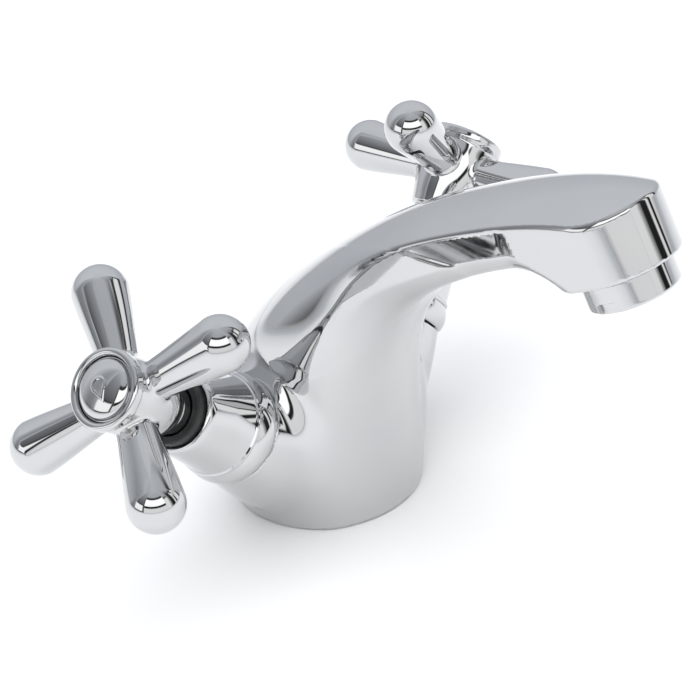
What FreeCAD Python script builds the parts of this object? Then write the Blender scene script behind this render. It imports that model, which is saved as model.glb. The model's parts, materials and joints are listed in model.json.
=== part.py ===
import FreeCAD, Part
import math
import os
import Sketcher
from FreeCAD import Vector, Placement

# Basin mixer tap: one casting on a round base, an arched spout leaning to -Y,
# and two cross-head valves at +X (cold) and -X (hot), 41 degrees above level.
# Millimetres, +Z up, origin at the centre of the base where it meets the deck.

doc = FreeCAD.newDocument("basin_mixer")
sheet = doc.addObject("Spreadsheet::Sheet", "Dimensions")

DIMENSIONS = [
    # the casting
    ("base_radius", 25.0), ("spout_half_width", 13.85), ("nose_radius", 14.0),
    ("nose_tilt", 22.66), ("outlet_y", -100.84), ("outlet_z", 84.15),
    ("nose_bottom", 7.2), ("nose_bore_radius", 9.9), ("nose_bore_top", 17.0),
    ("water_radius", 4.8), ("cross_radius", 4.0), ("cross_height", 31.0),
    ("inlet_offset", 9.0), ("inlet_radius", 4.55), ("inlet_depth", 12.0),
    ("stud_offset", 13.0), ("stud_radius", 3.4), ("stud_depth", 14.0),
    ("groove_inner", 19.5), ("groove_outer", 22.5), ("groove_depth", 2.2),
    # the two valve pods, measured along their axes from (0, 0, pod_root)
    ("pod_root", 5.0), ("pod_angle", 40.99), ("boss_radius", 13.8),
    ("boss_root", 14.0), ("boss_root_radius", 18.3),
    ("boss_face", 43.2), ("seat_level", 22.0), ("valve_bore", 10.4),
    ("port_radius", 3.2), ("gasket_recess", 11.8), ("gasket_level", 41.8),
    # the ceramic disc cartridge
    ("bush_radius", 9.3), ("bush_bottom", 24.0), ("thread_radius", 10.35),
    ("thread_bottom", 33.2), ("hex_flats", 20.0), ("hex_top", 49.0),
    ("bonnet_radius", 7.6), ("bonnet_top", 63.2), ("disc_chamber", 8.4),
    ("chamber_top", 35.3), ("spindle_bore", 4.06), ("disc_radius", 8.2),
    ("fixed_disc_bottom", 26.2), ("disc_thick", 2.9), ("disc_gap", 0.05),
    ("seal_hole", 4.4), ("spindle_radius", 4.0), ("foot_radius", 7.9),
    ("foot_top", 35.1), ("spindle_top", 84.6), ("screw_hole", 2.05),
    ("screw_hole_bottom", 70.0), ("ring_groove_radius", 3.1),
    ("ring_groove_low", 53.0), ("ring_groove_high", 57.0), ("ring_groove_width", 2.0),
    ("clip_groove_radius", 3.4), ("clip_level", 63.5), ("clip_thick", 0.9),
    ("clip_radius", 5.3),
    # the shroud and the black ring in its mouth
    ("shroud_foot", 43.25), ("shroud_foot_radius", 13.6), ("shroud_bulge", 14.2),
    ("bulge_level", 45.8), ("bead_level", 50.2), ("bead_radius", 12.7),
    ("cone_top", 64.6), ("cone_top_radius", 10.5), ("mouth_level", 66.6),
    ("mouth_radius", 9.45), ("mouth_bore", 8.75), ("ring_seat", 64.4),
    ("ring_seat_radius", 8.25), ("shroud_inner", 11.3), ("web_bore", 7.7),
    ("web_top", 51.2), ("hex_cavity", 12.3), ("ring_outer", 8.7),
    ("ring_inner", 6.5), ("ring_top", 69.2),
    # the cross handle, measured from the centre of its arms
    ("handle_level", 85.76), ("rim_radius", 9.95), ("rim_top", 9.4),
    ("neck_radius", 7.3), ("neck_level", -12.7), ("sleeve_radius", 6.3),
    ("sleeve_bottom", -20.9), ("cap_recess", 7.9), ("cap_floor", 5.4),
    ("screw_recess", 4.5), ("web_level", 2.4), ("web_bottom", -1.0),
    ("socket_radius", 4.02), ("web_hole", 2.3), ("arm_length", 28.0),
    ("arm_ball", 7.19), ("arm_root", 4.7), ("arm_inner", 6.0),
    ("hot_turn", 41.65), ("cold_turn", 3.53),
    ("cap_radius", 7.85), ("cap_dome", 11.0), ("cap_edge", 9.0),
    ("screw_head", 4.1), ("screw_shank", 2.0), ("screw_bottom", -10.0),
    # the aerator, measured up its own axis from the outlet
    ("collar_radius", 10.98), ("collar_height", 7.0), ("collar_bore", 8.4),
    ("outlet_lip", 7.9), ("lip_height", 1.2), ("nozzle_thread", 9.85),
    ("nozzle_top", 13.5), ("insert_radius", 8.35), ("screen_radius", 8.35),
    ("washer_inner", 6.4), ("washer_outer", 9.8), ("washer_thick", 2.0),
]
for row, (alias, value) in enumerate(DIMENSIONS, start=1):
    sheet.set("A%d" % row, alias.replace("_", " "))
    sheet.set("B%d" % row, str(value))
    sheet.setAlias("B%d" % row, alias)
doc.recompute()


class E:
    """A number together with the sheet expression that gives it."""

    def __init__(self, value, text):
        self.value = float(value)
        self.text = text

    @staticmethod
    def of(thing):
        return thing if isinstance(thing, E) else E(thing, repr(float(thing)))

    def __add__(self, other):
        other = E.of(other)
        return E(self.value + other.value, "(%s + %s)" % (self.text, other.text))

    def __sub__(self, other):
        other = E.of(other)
        return E(self.value - other.value, "(%s - %s)" % (self.text, other.text))

    def __mul__(self, other):
        other = E.of(other)
        return E(self.value * other.value, "(%s * %s)" % (self.text, other.text))

    __radd__ = __add__
    __rmul__ = __mul__

    def __rsub__(self, other):
        return E.of(other) - self


D = {alias: E(sheet.get(alias), "Dimensions." + alias) for alias, _ in DIMENSIONS}


def num(alias):
    return D[alias].value


# ---------------------------------------------------------------- frames
ELEV = math.radians(num("pod_angle"))
CE, SE = math.cos(ELEV), math.sin(ELEV)


def frame(x_axis, y_axis, z_axis, origin):
    return Placement(FreeCAD.Matrix(
        x_axis.x, y_axis.x, z_axis.x, origin.x,
        x_axis.y, y_axis.y, z_axis.y, origin.y,
        x_axis.z, y_axis.z, z_axis.z, origin.z,
        0, 0, 0, 1))


POD_AXES = {
    "hot": (Vector(0, 1, 0), Vector(-SE, 0, -CE), Vector(-CE, 0, SE)),
    "cold": (Vector(0, -1, 0), Vector(SE, 0, -CE), Vector(CE, 0, SE)),
}
ROOT = Vector(0, 0, num("pod_root"))


def pod_frame(side, level=0.0, turn=0.0):
    """Local z runs out along the pod axis; turn rotates about that axis."""
    u, v, n = POD_AXES[side]
    a = math.radians(turn)
    x_axis = u * math.cos(a) + v * math.sin(a)
    y_axis = v * math.cos(a) - u * math.sin(a)
    return frame(x_axis, y_axis, n, ROOT + n * level)


TILT = math.radians(num("nose_tilt"))
NOSE_UP = Vector(0, math.sin(TILT), math.cos(TILT))
NOSE_FRONT = Vector(0, -math.cos(TILT), math.sin(TILT))
OUTLET = Vector(0, num("outlet_y"), num("outlet_z"))
NOSE = frame(Vector(1, 0, 0), Vector(0, math.cos(TILT), -math.sin(TILT)), NOSE_UP, OUTLET)


# ---------------------------------------------------------------- sketches
def origin_part(body, role):
    return [f for f in body.Origin.OriginFeatures if f.Role == role][0]


def sketch_on(body, name, role="XZ_Plane"):
    sk = body.newObject("Sketcher::SketchObject", name)
    sk.AttachmentSupport = [(origin_part(body, role), "")]
    sk.MapMode = "FlatFace"
    return sk


def closed_profile(sk, points, arcs=None):
    """Lines and arcs through points, every point held by the sheet.
    arcs maps a segment's number to (radius, side); side +1 puts the centre
    to the left of the direction of travel."""
    arcs = arcs or {}
    pts = [(E.of(x), E.of(y)) for x, y in points]
    n = len(pts)
    ends = {}
    for i in range(n):
        (x0, y0), (x1, y1) = pts[i], pts[(i + 1) % n]
        a = Vector(x0.value, y0.value, 0)
        b = Vector(x1.value, y1.value, 0)
        if i in arcs:
            radius, side = E.of(arcs[i][0]), arcs[i][1]
            mid = (a + b) * 0.5
            half = (b - a).Length / 2
            left = Vector(-(b - a).y, (b - a).x, 0).normalize()
            c = mid + left * side * math.sqrt(max(radius.value ** 2 - half ** 2, 0.0))
            t0 = math.atan2(a.y - c.y, a.x - c.x)
            t1 = math.atan2(b.y - c.y, b.x - c.x)
            circle = Part.Circle(c, Vector(0, 0, 1), radius.value)
            if side > 0:
                g = sk.addGeometry(Part.ArcOfCircle(circle, t0, t1 if t1 > t0 else t1 + 2 * math.pi), False)
                ends[i] = (g, 1, 2)
            else:
                g = sk.addGeometry(Part.ArcOfCircle(circle, t1, t0 if t0 > t1 else t0 + 2 * math.pi), False)
                ends[i] = (g, 2, 1)
        else:
            g = sk.addGeometry(Part.LineSegment(a, b), False)
            ends[i] = (g, 1, 2)
    for i in range(n):
        g, start, _ = ends[i]
        pg, _, pend = ends[(i - 1) % n]
        sk.addConstraint(Sketcher.Constraint("Coincident", pg, pend, g, start))
        x, y = pts[i]
        for kind, value, axis in (("DistanceX", x, -2), ("DistanceY", y, -1)):
            if abs(value.value) < 1e-9:
                sk.addConstraint(Sketcher.Constraint("PointOnObject", g, start, axis))
            else:
                c = sk.addConstraint(Sketcher.Constraint(kind, -1, 1, g, start, value.value))
                sk.setExpression("Constraints[%d]" % c, value.text)
    for i, (radius, side) in arcs.items():
        radius = E.of(radius)
        c = sk.addConstraint(Sketcher.Constraint("Radius", ends[i][0], radius.value))
        sk.setExpression("Constraints[%d]" % c, radius.text)
    return sk


NODES = []


def new_body(label):
    body = doc.addObject("PartDesign::Body", label + "_body")
    body.Label = label
    return body


def revolve(body, name, points, arcs=None, axis="V_Axis", cut=False):
    sk = closed_profile(sketch_on(body, name + "_sketch"), points, arcs)
    kind = "PartDesign::Groove" if cut else "PartDesign::Revolution"
    rev = body.newObject(kind, name)
    rev.Profile = sk
    rev.ReferenceAxis = (sk, [axis])
    rev.Angle = 360
    body.Tip = rev
    return rev


def node(label, obj, placement):
    obj.Label = label
    obj.Placement = placement
    NODES.append((label, obj))


def lathe(label, points, placement, arcs=None):
    body = new_body(label)
    revolve(body, label + "_turned", points, arcs)
    node(label, body, placement)
    return body


# ---------------------------------------------------------------- casting form
# The back and top line of the casting, and its front and underside line, both
# in the plane x = 0, as control points (y, z) of clamped cubic splines.
TOP_LINE = [(25.0, 0.0), (25.03, 21.04), (25.7, 43.32), (-23.63, 83.73),
            (-57.04, 100.13), (-94.3, 113.31), (-108.33, 110.42)]
UNDER_LINE = [(-25, 0), (-26.11, 11.41), (-26.3, 35.76), (-37.83, 69.74),
              (-72.32, 88.97), (-92.51, 94.56), (-105.2, 96.46)]


def spline_points(control, count):
    n = len(control)
    spans = n - 3
    knots = [0.0] * 4 + [i / spans for i in range(1, spans)] + [1.0] * 4
    out = []
    for s in range(count):
        t = min(s / (count - 1), 1 - 1e-12)
        j = 3
        while knots[j + 1] <= t:
            j += 1
        d = [control[j - 3 + i] for i in range(4)]
        for r in range(1, 4):
            for i in range(3, r - 1, -1):
                lo, hi = knots[j - 3 + i], knots[j + 1 + i - r]
                a = (t - lo) / (hi - lo)
                d[i] = ((1 - a) * d[i - 1][0] + a * d[i][0], (1 - a) * d[i - 1][1] + a * d[i][1])
        out.append(d[3])
    return out


TOP = spline_points(TOP_LINE, 241)
UNDER = spline_points(UNDER_LINE, 241)


def project(curve, y, z):
    """Distance from a point to a line, and the arc length at its foot."""
    best = None
    run = 0.0
    for (y0, z0), (y1, z1) in zip(curve, curve[1:]):
        dy, dz = y1 - y0, z1 - z0
        seg = math.hypot(dy, dz)
        t = max(0.0, min(1.0, ((y - y0) * dy + (z - z0) * dz) / (seg * seg)))
        d = math.hypot(y - y0 - t * dy, z - z0 - t * dz)
        if best is None or d < best[0]:
            best = (d, run + t * seg)
        run += seg
    return best


def fade(s, middle, width):
    return 0.5 * (1 - math.tanh((s - middle) / width))


def half_width(s):
    return num("spout_half_width") + (num("base_radius") - num("spout_half_width")) * fade(s, 54.5, 14.0)


def corner(s):
    return 5.0 + (half_width(s) - 5.0) * fade(s, 72.0, 14.0)


def crown(s):
    return num("base_radius") - 2.5 * (1 - fade(s, 90.0, 25.0))


def outline_x(y, z):
    """Half width of the casting at a point of its middle plane, from the
    crown above and from the sides and underside below."""
    dt, st = project(TOP, y, z)
    du, su = project(UNDER, y, z)
    r = crown(st)
    above = r if dt >= r else math.sqrt(max(r * r - (r - dt) ** 2, 0.0))
    w, c = half_width(su), corner(su)
    below = w if du >= c else w - c + math.sqrt(max(c * c - (c - du) ** 2, 0.0))
    return above, below


def section(bottom, top, count=13):
    """Closed outline in the plane through bottom, top and the x direction:
    a crown edge and an underside edge that meet at the two shoulder creases."""
    (yb, zb), (yt, zt) = bottom, top

    def at(q):
        return yb + (yt - yb) * q, zb + (zt - zb) * q

    lo, hi = 0.0, 1.0
    for _ in range(40):
        mid = (lo + hi) / 2
        above, below = outline_x(*at(mid))
        if above < below - 1e-6:
            hi = mid
        else:
            lo = mid
    crease = (lo + hi) / 2
    if abs(zb - zt) < 1e-6:
        crease = 0.5
    crown_pts, under_pts = [], []
    for i in range(count):
        a = (math.pi / 2) * i / (count - 1)
        q = crease + (1 - crease) * math.sin(a)
        above = outline_x(*at(q))[0] if i < count - 1 else 0.0
        crown_pts.append((above, q))
        q = crease * (1 - math.sin(a))
        below = outline_x(*at(q))[1] if i < count - 1 else 0.0
        if i == 0:
            below = crown_pts[0][0]
        under_pts.append((below, q))

    def edge(half):
        pts = [(x, q) for x, q in half] + [(-x, q) for x, q in reversed(half[:-1])]
        vecs = [Vector(x, *at(q)) for x, q in pts]
        curve = Part.BSplineCurve()
        curve.interpolate(vecs)
        return curve.toShape()

    return Part.Wire([edge(crown_pts), edge(under_pts)])


def nearest(curve, frac):
    run = [0.0]
    for (y0, z0), (y1, z1) in zip(curve, curve[1:]):
        run.append(run[-1] + math.hypot(y1 - y0, z1 - z0))
    goal = frac * run[-1]
    for i in range(1, len(run)):
        if run[i] >= goal:
            t = (goal - run[i - 1]) / (run[i] - run[i - 1])
            (y0, z0), (y1, z1) = curve[i - 1], curve[i]
            return y0 + t * (y1 - y0), z0 + t * (z1 - z0)
    return curve[-1]


# Section planes: matching fractions of the two lines' lengths, so that the
# planes fan round the throat under the spout without crossing. The last one
# holds the nose axis.
STATIONS = [0.0, 0.07, 0.14, 0.21, 0.28, 0.35, 0.42, 0.49, 0.56, 0.63, 0.70, 0.77, 0.84]


def on_axis(curve):
    """Where a line of the casting crosses the axis of the nose."""
    def ahead(p):
        return (p[0] - OUTLET.y) * NOSE_FRONT.y + (p[1] - OUTLET.z) * NOSE_FRONT.z
    for p, q in zip(curve, curve[1:]):
        if ahead(p) <= 0 <= ahead(q) and p[0] < -60:
            t = -ahead(p) / (ahead(q) - ahead(p))
            return p[0] + t * (q[0] - p[0]), p[1] + t * (q[1] - p[1])


pairs = [(nearest(UNDER, f), nearest(TOP, f)) for f in STATIONS] + [(on_axis(UNDER), on_axis(TOP))]
print("stations", [(round(b[0], 1), round(b[1], 1), round(t[0], 1), round(t[1], 1)) for b, t in pairs])
bar = Part.makeLoft([section(b, t) for b, t in pairs], True, False)
if bar.ShapeType != "Solid":
    bar = bar.Solids[0]
print("bar", bar.isValid(), round(bar.Volume, 1))

form = doc.addObject("Part::Feature", "spout_form")
form.Shape = bar


def roof_section(bottom, top, reach=18.5, drop=40.0, sink=0.12):
    """The crown arc over one section plane, with straight sides far below."""
    (yb, zb), (yt, zt) = bottom, top
    size = math.hypot(yt - yb, zt - zb)
    dy, dz = (yb - yt) / size, (zb - zt) / size
    r = crown(project(TOP, yt, zt)[1])
    arc = []
    for i in range(15):
        x = reach * math.cos(math.pi * i / 14)
        d = sink + r - math.sqrt(r * r - x * x)
        arc.append(Vector(x, yt + dy * d, zt + dz * d))
    curve = Part.BSplineCurve()
    curve.interpolate(arc)
    low = [Vector(x, yt + dy * drop, zt + dz * drop) for x in (-reach, reach)]
    return Part.Wire([curve.toShape(), Part.makeLine(arc[-1], low[0]),
                      Part.makeLine(low[0], low[1]), Part.makeLine(low[1], arc[0])])


ahead_pairs = [(nearest(UNDER, 0.78), nearest(TOP, 0.78)), (nearest(UNDER, 0.85), nearest(TOP, 0.85)),
               (on_axis(UNDER), on_axis(TOP)), (nearest(UNDER, 1.0), nearest(TOP, 1.0))]
roof = Part.makeLoft([roof_section(b, t) for b, t in ahead_pairs], True, False)
if roof.ShapeType != "Solid":
    roof = roof.Solids[0]
print("roof", roof.isValid(), round(roof.Volume, 1))
roof_form = doc.addObject("Part::Feature", "nose_roof")
roof_form.Shape = roof

# The nose is a round drum about the outlet axis, closed by the same crown.
drum = doc.addObject("Part::Cylinder", "nose_drum")
drum.setExpression("Radius", "Dimensions.nose_radius")
drum.Height = 45
drum.Placement = NOSE.multiply(Placement(Vector(0, 0, num("nose_bottom")), FreeCAD.Rotation()))
rounded = doc.addObject("Part::Common", "nose")
rounded.Base, rounded.Tool = drum, roof_form

fused = [form, rounded]
for side in ("hot", "cold"):
    boss = doc.addObject("Part::Cone", side + "_boss")
    boss.setExpression("Radius1", "Dimensions.boss_root_radius")
    boss.setExpression("Radius2", "Dimensions.boss_radius")
    boss.setExpression("Height", "Dimensions.boss_face - Dimensions.boss_root")
    boss.Placement = pod_frame(side, num("boss_root"))
    fused.append(boss)
outer = doc.addObject("Part::MultiFuse", "casting_outer")
outer.Shapes = fused

cuts = []


def bore(name, radius, height, placement):
    c = doc.addObject("Part::Cylinder", name)
    c.setExpression("Radius", radius.text)
    c.setExpression("Height", height.text)
    c.Placement = placement
    cuts.append(c)
    return c


for side in ("hot", "cold"):
    sgn = -1 if side == "hot" else 1
    bore(side + "_valve_bore", D["valve_bore"], D["boss_face"] - D["seat_level"] + 1, pod_frame(side, num("seat_level")))
    bore(side + "_gasket_recess", D["gasket_recess"], D["boss_face"] - D["gasket_level"] + 1, pod_frame(side, num("gasket_level")))
    x_in = sgn * num("inlet_offset")
    bore(side + "_inlet", D["inlet_radius"], D["inlet_depth"] + 1, Placement(Vector(x_in, 0, -1), FreeCAD.Rotation()))
    start = Vector(x_in, 0, num("inlet_depth"))
    seat = ROOT + POD_AXES[side][2] * (num("seat_level") + 0.6)
    way = seat - start
    p = bore(side + "_seat_port", D["port_radius"], E.of(way.Length), Placement(start, FreeCAD.Rotation(Vector(0, 0, 1), way)))
bore("stud_hole", D["stud_radius"], D["stud_depth"] + 1, Placement(Vector(0, num("stud_offset"), -1), FreeCAD.Rotation()))
bore("mixing_way", D["cross_radius"], E.of(32.0), Placement(Vector(-16, 0, num("cross_height")), FreeCAD.Rotation(Vector(0, 0, 1), Vector(1, 0, 0))))
bore("nose_bore", D["nose_bore_radius"], D["nose_bore_top"] - D["nose_bottom"] + 1,
     NOSE.multiply(Placement(Vector(0, 0, num("nose_bottom") - 1), FreeCAD.Rotation())))
# the water way up the arch, as straight cored runs with round elbows
mids = [((b[0] + t[0]) / 2, (b[1] + t[1]) / 2) for b, t in pairs]
route = [Vector(0, 0, num("cross_height"))]
for i in (4, 6, 8, 10, 11):
    route.append(Vector(0, mids[i][0], mids[i][1]))
route.append(OUTLET + NOSE_UP * (num("nose_bore_top") + 1.0))
print("route", [(round(p.y, 1), round(p.z, 1)) for p in route])
for i, (a, b) in enumerate(zip(route, route[1:])):
    bore("water_run_%d" % i, D["water_radius"], E.of((b - a).Length), Placement(a, FreeCAD.Rotation(Vector(0, 0, 1), b - a)))
    ball = doc.addObject("Part::Sphere", "water_elbow_%d" % i)
    ball.setExpression("Radius", "Dimensions.water_radius")
    ball.Placement = Placement(a, FreeCAD.Rotation())
    cuts.append(ball)
ball = doc.addObject("Part::Sphere", "water_elbow_end")
ball.setExpression("Radius", "Dimensions.water_radius")
ball.Placement = Placement(route[-1], FreeCAD.Rotation())
cuts.append(ball)
# the gasket groove under the base
ring_out = doc.addObject("Part::Cylinder", "groove_outer_wall")
ring_out.setExpression("Radius", "Dimensions.groove_outer")
ring_out.setExpression("Height", "Dimensions.groove_depth + 1")
ring_out.Placement = Placement(Vector(0, 0, -1), FreeCAD.Rotation())
ring_in = doc.addObject("Part::Cylinder", "groove_inner_wall")
ring_in.setExpression("Radius", "Dimensions.groove_inner")
ring_in.setExpression("Height", "Dimensions.groove_depth + 2")
ring_in.Placement = Placement(Vector(0, 0, -1.5), FreeCAD.Rotation())
ring_cut = doc.addObject("Part::Cut", "gasket_groove")
ring_cut.Base, ring_cut.Tool = ring_out, ring_in
cuts.append(ring_cut)
hollow = doc.addObject("Part::MultiFuse", "casting_hollow")
hollow.Shapes = cuts
casting = doc.addObject("Part::Cut", "casting")
casting.Base, casting.Tool = outer, hollow
node("body_casting", casting, Placement())

lathe("base_gasket", [(D["groove_inner"] + 0.05, 0), (D["groove_outer"] - 0.05, 0),
                      (D["groove_outer"] - 0.05, D["groove_depth"] - 0.05),
                      (D["groove_inner"] + 0.05, D["groove_depth"] - 0.05)], Placement())

# ---------------------------------------------------------------- aerator
housing = new_body("aerator_housing")
revolve(housing, "housing_turned", [
    (D["outlet_lip"], 0), (D["collar_radius"] - 0.6, 0), (D["collar_radius"], 0.6),
    (D["collar_radius"], D["collar_height"] - 0.4), (D["collar_radius"] - 0.4, D["collar_height"]),
    (D["nozzle_thread"], D["collar_height"]), (D["nozzle_thread"], D["nozzle_top"] - 0.6),
    (D["nozzle_thread"] - 0.6, D["nozzle_top"]), (D["collar_bore"], D["nozzle_top"]),
    (D["collar_bore"], D["lip_height"]), (D["outlet_lip"], D["lip_height"])])
key = sketch_on(housing, "key_slot_sketch", "XY_Plane")
closed_profile(key, [(D["collar_radius"] * -1 - 1, -2.4), (D["collar_radius"] * -1 + 0.9, -2.4),
                     (D["collar_radius"] * -1 + 0.9, 2.4), (D["collar_radius"] * -1 - 1, 2.4)])
slot = housing.newObject("PartDesign::Pocket", "key_slot")
slot.Profile = key
slot.Length = 2.6
slot.Reversed = True
housing.Tip = slot
doc.recompute()
opposite = housing.newObject("PartDesign::PolarPattern", "key_slots")
opposite.Originals = [slot]
opposite.Axis = (origin_part(housing, "Z_Axis"), [""])
opposite.Angle = 360
opposite.Occurrences = 2
housing.Tip = opposite
node("aerator_housing", housing, NOSE)


def round_holes(body, name, positions, radius, depth, reversed_cut):
    sk = sketch_on(body, name + "_sketch", "XY_Plane")
    for x, y in positions:
        g = sk.addGeometry(Part.Circle(Vector(x, y, 0), Vector(0, 0, 1), radius), False)
        for kind, value in (("DistanceX", x), ("DistanceY", y)):
            if abs(value) < 1e-9:
                sk.addConstraint(Sketcher.Constraint("PointOnObject", g, 3, -2 if kind == "DistanceX" else -1))
            else:
                sk.addConstraint(Sketcher.Constraint(kind, -1, 1, g, 3, value))
        sk.addConstraint(Sketcher.Constraint("Radius", g, radius))
    pocket = body.newObject("PartDesign::Pocket", name)
    pocket.Profile = sk
    pocket.Length = depth
    pocket.Reversed = reversed_cut
    body.Tip = pocket
    return pocket


insert = new_body("aerator_insert")
revolve(insert, "insert_turned", [
    (0, 2.6), (D["insert_radius"], 2.6), (D["insert_radius"], D["nozzle_top"] - 0.2),
    (D["insert_radius"] - 1.4, D["nozzle_top"] - 0.2), (D["insert_radius"] - 1.4, 9.0),
    (1.6, 9.0), (1.2, 10.4), (0, 10.4)])
holes = [(5.0 * math.cos(i * math.pi / 5), 5.0 * math.sin(i * math.pi / 5)) for i in range(10)]
round_holes(insert, "insert_jets", holes, 0.8, 12.0, True)
node("aerator_insert", insert, NOSE)

screen = new_body("aerator_screen")
revolve(screen, "screen_turned", [(0, 1.25), (D["screen_radius"], 1.25), (D["screen_radius"], 2.55), (0, 2.55)])
cells = []
for i in range(-4, 5):
    for j in range(-4, 5):
        x, y = 1.9 * (i + 0.5 * j), 1.9 * j * math.sqrt(3) / 2
        if math.hypot(x, y) < 7.2:
            cells.append((x, y))
round_holes(screen, "screen_cells", cells, 0.78, 4.0, True)
node("aerator_screen", screen, NOSE)

lathe("aerator_washer", [(D["washer_inner"], D["nozzle_top"]), (D["washer_outer"], D["nozzle_top"]),
                         (D["washer_outer"], D["nozzle_top"] + D["washer_thick"]),
                         (D["washer_inner"], D["nozzle_top"] + D["washer_thick"])], NOSE)

# ---------------------------------------------------------------- the two valves
FIXED_TOP = D["fixed_disc_bottom"] + D["disc_thick"]
MOVING_BOTTOM = FIXED_TOP + D["disc_gap"]
MOVING_TOP = MOVING_BOTTOM + D["disc_thick"]


def kidney_ports(body, name, inner, outer, start_angle, sweep, depth):
    """Two kidney-shaped ports, opposite each other, cut through a disc."""
    sk = sketch_on(body, name + "_sketch", "XY_Plane")
    for k in range(2):
        a0 = math.radians(start_angle + 180 * k)
        a1 = a0 + math.radians(sweep)
        z = Vector(0, 0, 1)
        sk.addGeometry(Part.ArcOfCircle(Part.Circle(Vector(0, 0, 0), z, outer), a0, a1), False)
        sk.addGeometry(Part.ArcOfCircle(Part.Circle(Vector(0, 0, 0), z, inner), a0, a1), False)
        for a in (a0, a1):
            sk.addGeometry(Part.LineSegment(Vector(inner * math.cos(a), inner * math.sin(a), 0),
                                            Vector(outer * math.cos(a), outer * math.sin(a), 0)), False)
        o = 4 * k
        sk.addConstraint(Sketcher.Constraint("Coincident", o + 1, 1, o + 2, 1))
        sk.addConstraint(Sketcher.Constraint("Coincident", o, 1, o + 2, 2))
        sk.addConstraint(Sketcher.Constraint("Coincident", o + 1, 2, o + 3, 1))
        sk.addConstraint(Sketcher.Constraint("Coincident", o, 2, o + 3, 2))
        sk.addConstraint(Sketcher.Constraint("Block", o))
        sk.addConstraint(Sketcher.Constraint("Block", o + 1))
    pocket = body.newObject("PartDesign::Pocket", name)
    pocket.Profile = sk
    pocket.Length = depth
    pocket.Reversed = True
    body.Tip = pocket
    return pocket


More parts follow.
